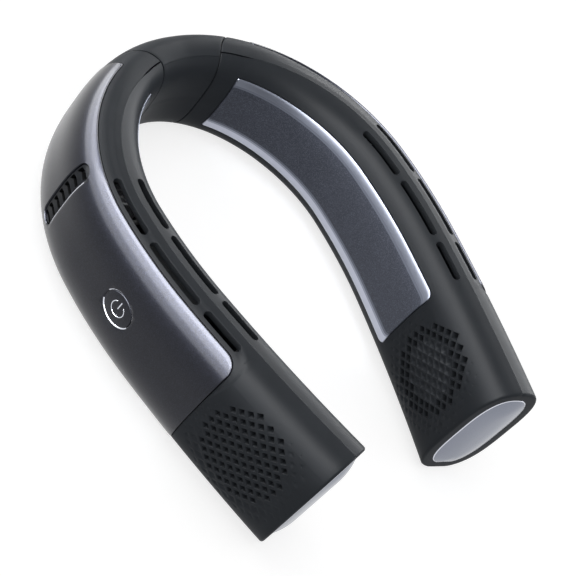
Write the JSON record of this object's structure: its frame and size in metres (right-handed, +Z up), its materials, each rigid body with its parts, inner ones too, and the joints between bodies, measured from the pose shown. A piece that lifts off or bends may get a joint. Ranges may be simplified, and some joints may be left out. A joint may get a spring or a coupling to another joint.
{
  "type": "electric neck fan",
  "caption": "Horseshoe-shaped wearable fan: curved arms with blowers, air slots and cooling plates, hinged on a short bridge behind the neck.",
  "frame": {"origin": "on the resting surface, under the middle of the whole fan's box", "axes": "+Z up, +Y towards the bridge behind the neck; the wearer faces -Y, so +X is the wearer's left; pieces named left lie at -X, at the left of the picture, and carry the power button"},
  "size_m": [0.1978, 0.2412, 0.072],
  "materials": {
    "arm_shell": "fine matte graphite plastic",
    "bridge_shell": "fine matte graphite plastic",
    "gloss_cover": "clear-coated metallic blue-grey",
    "louvres": "matte dark plastic",
    "cooling_plate": "fine-blasted dark blue-grey anodised",
    "chip": "white ceramic",
    "heat_sink": "plain extruded",
    "battery": "shrink sleeve",
    "volute": "moulded",
    "motor": "black coated can",
    "bush": "sintered",
    "steel": "plain",
    "screws": "black zinc",
    "impeller": "moulded",
    "end_cap": "satin silver",
    "bracket": "die-cast",
    "button": "as the cover, with a bright ring",
    "switch": "plain",
    "board": "solder mask",
    "port": "plated shell"
  },
  "bodies": {
    "bridge": {"bridge_outer_shell": "bridge_shell", "bridge_inner_shell": "bridge_shell", "hinge_strap": "steel", "bridge_screws": "screws"},
    "left_arm": {"left_outer_shell": "arm_shell", "left_inner_shell": "arm_shell", "left_outer_cover": "gloss_cover", "left_vent_louvres": "louvres", "left_cooling_plate": "cooling_plate", "left_cooling_chip": "chip", "left_heat_sink": "heat_sink", "left_battery": "battery", "left_fan_volute": "volute", "left_fan_motor": "motor", "left_fan_bush": "bush", "left_end_cap": "end_cap", "left_hinge_bracket": "bracket", "left_hinge_pin": "steel", "left_arm_screws": "screws", "button_switch": "switch", "control_board": "board", "charging_port": "port"},
    "right_arm": {"right_outer_shell": "arm_shell", "right_inner_shell": "arm_shell", "right_outer_cover": "gloss_cover", "right_vent_louvres": "louvres", "right_cooling_plate": "cooling_plate", "right_cooling_chip": "chip", "right_heat_sink": "heat_sink", "right_battery": "battery", "right_fan_volute": "volute", "right_fan_motor": "motor", "right_fan_bush": "bush", "right_end_cap": "end_cap", "right_hinge_bracket": "bracket", "right_hinge_pin": "steel", "right_arm_screws": "screws"},
    "left_impeller": {"left_impeller": "impeller", "left_fan_shaft": "steel"},
    "right_impeller": {"right_impeller": "impeller", "right_fan_shaft": "steel"},
    "button": {"power_button": "button"}
  },
  "joints": [
    {"name": "left_hinge", "type": "hinge", "parent": "bridge", "child": "left_arm", "pos_m": [-0.03744, 0.0917, 0.02775], "axis": [0, 0, -1], "range_deg": [0, 12]},
    {"name": "right_hinge", "type": "hinge", "parent": "bridge", "child": "right_arm", "pos_m": [0.03744, 0.0917, 0.02775], "axis": [0, 0, 1], "range_deg": [0, 12]},
    {"name": "left_fan_spin", "type": "hinge", "parent": "left_arm", "child": "left_impeller", "pos_m": [-0.06385, -0.08415, 0.0385], "axis": [-0.9708, -0.2397, 0], "continuous": true},
    {"name": "right_fan_spin", "type": "hinge", "parent": "right_arm", "child": "right_impeller", "pos_m": [0.06385, -0.08415, 0.0385], "axis": [0.9708, -0.2397, 0], "continuous": true},
    {"name": "button_press", "type": "slide", "parent": "left_arm", "child": "button", "axis": [0.9961, 0.0884, 0], "range_m": [0, 0.0005], "stiffness_N_per_m": 1200}
  ]
}
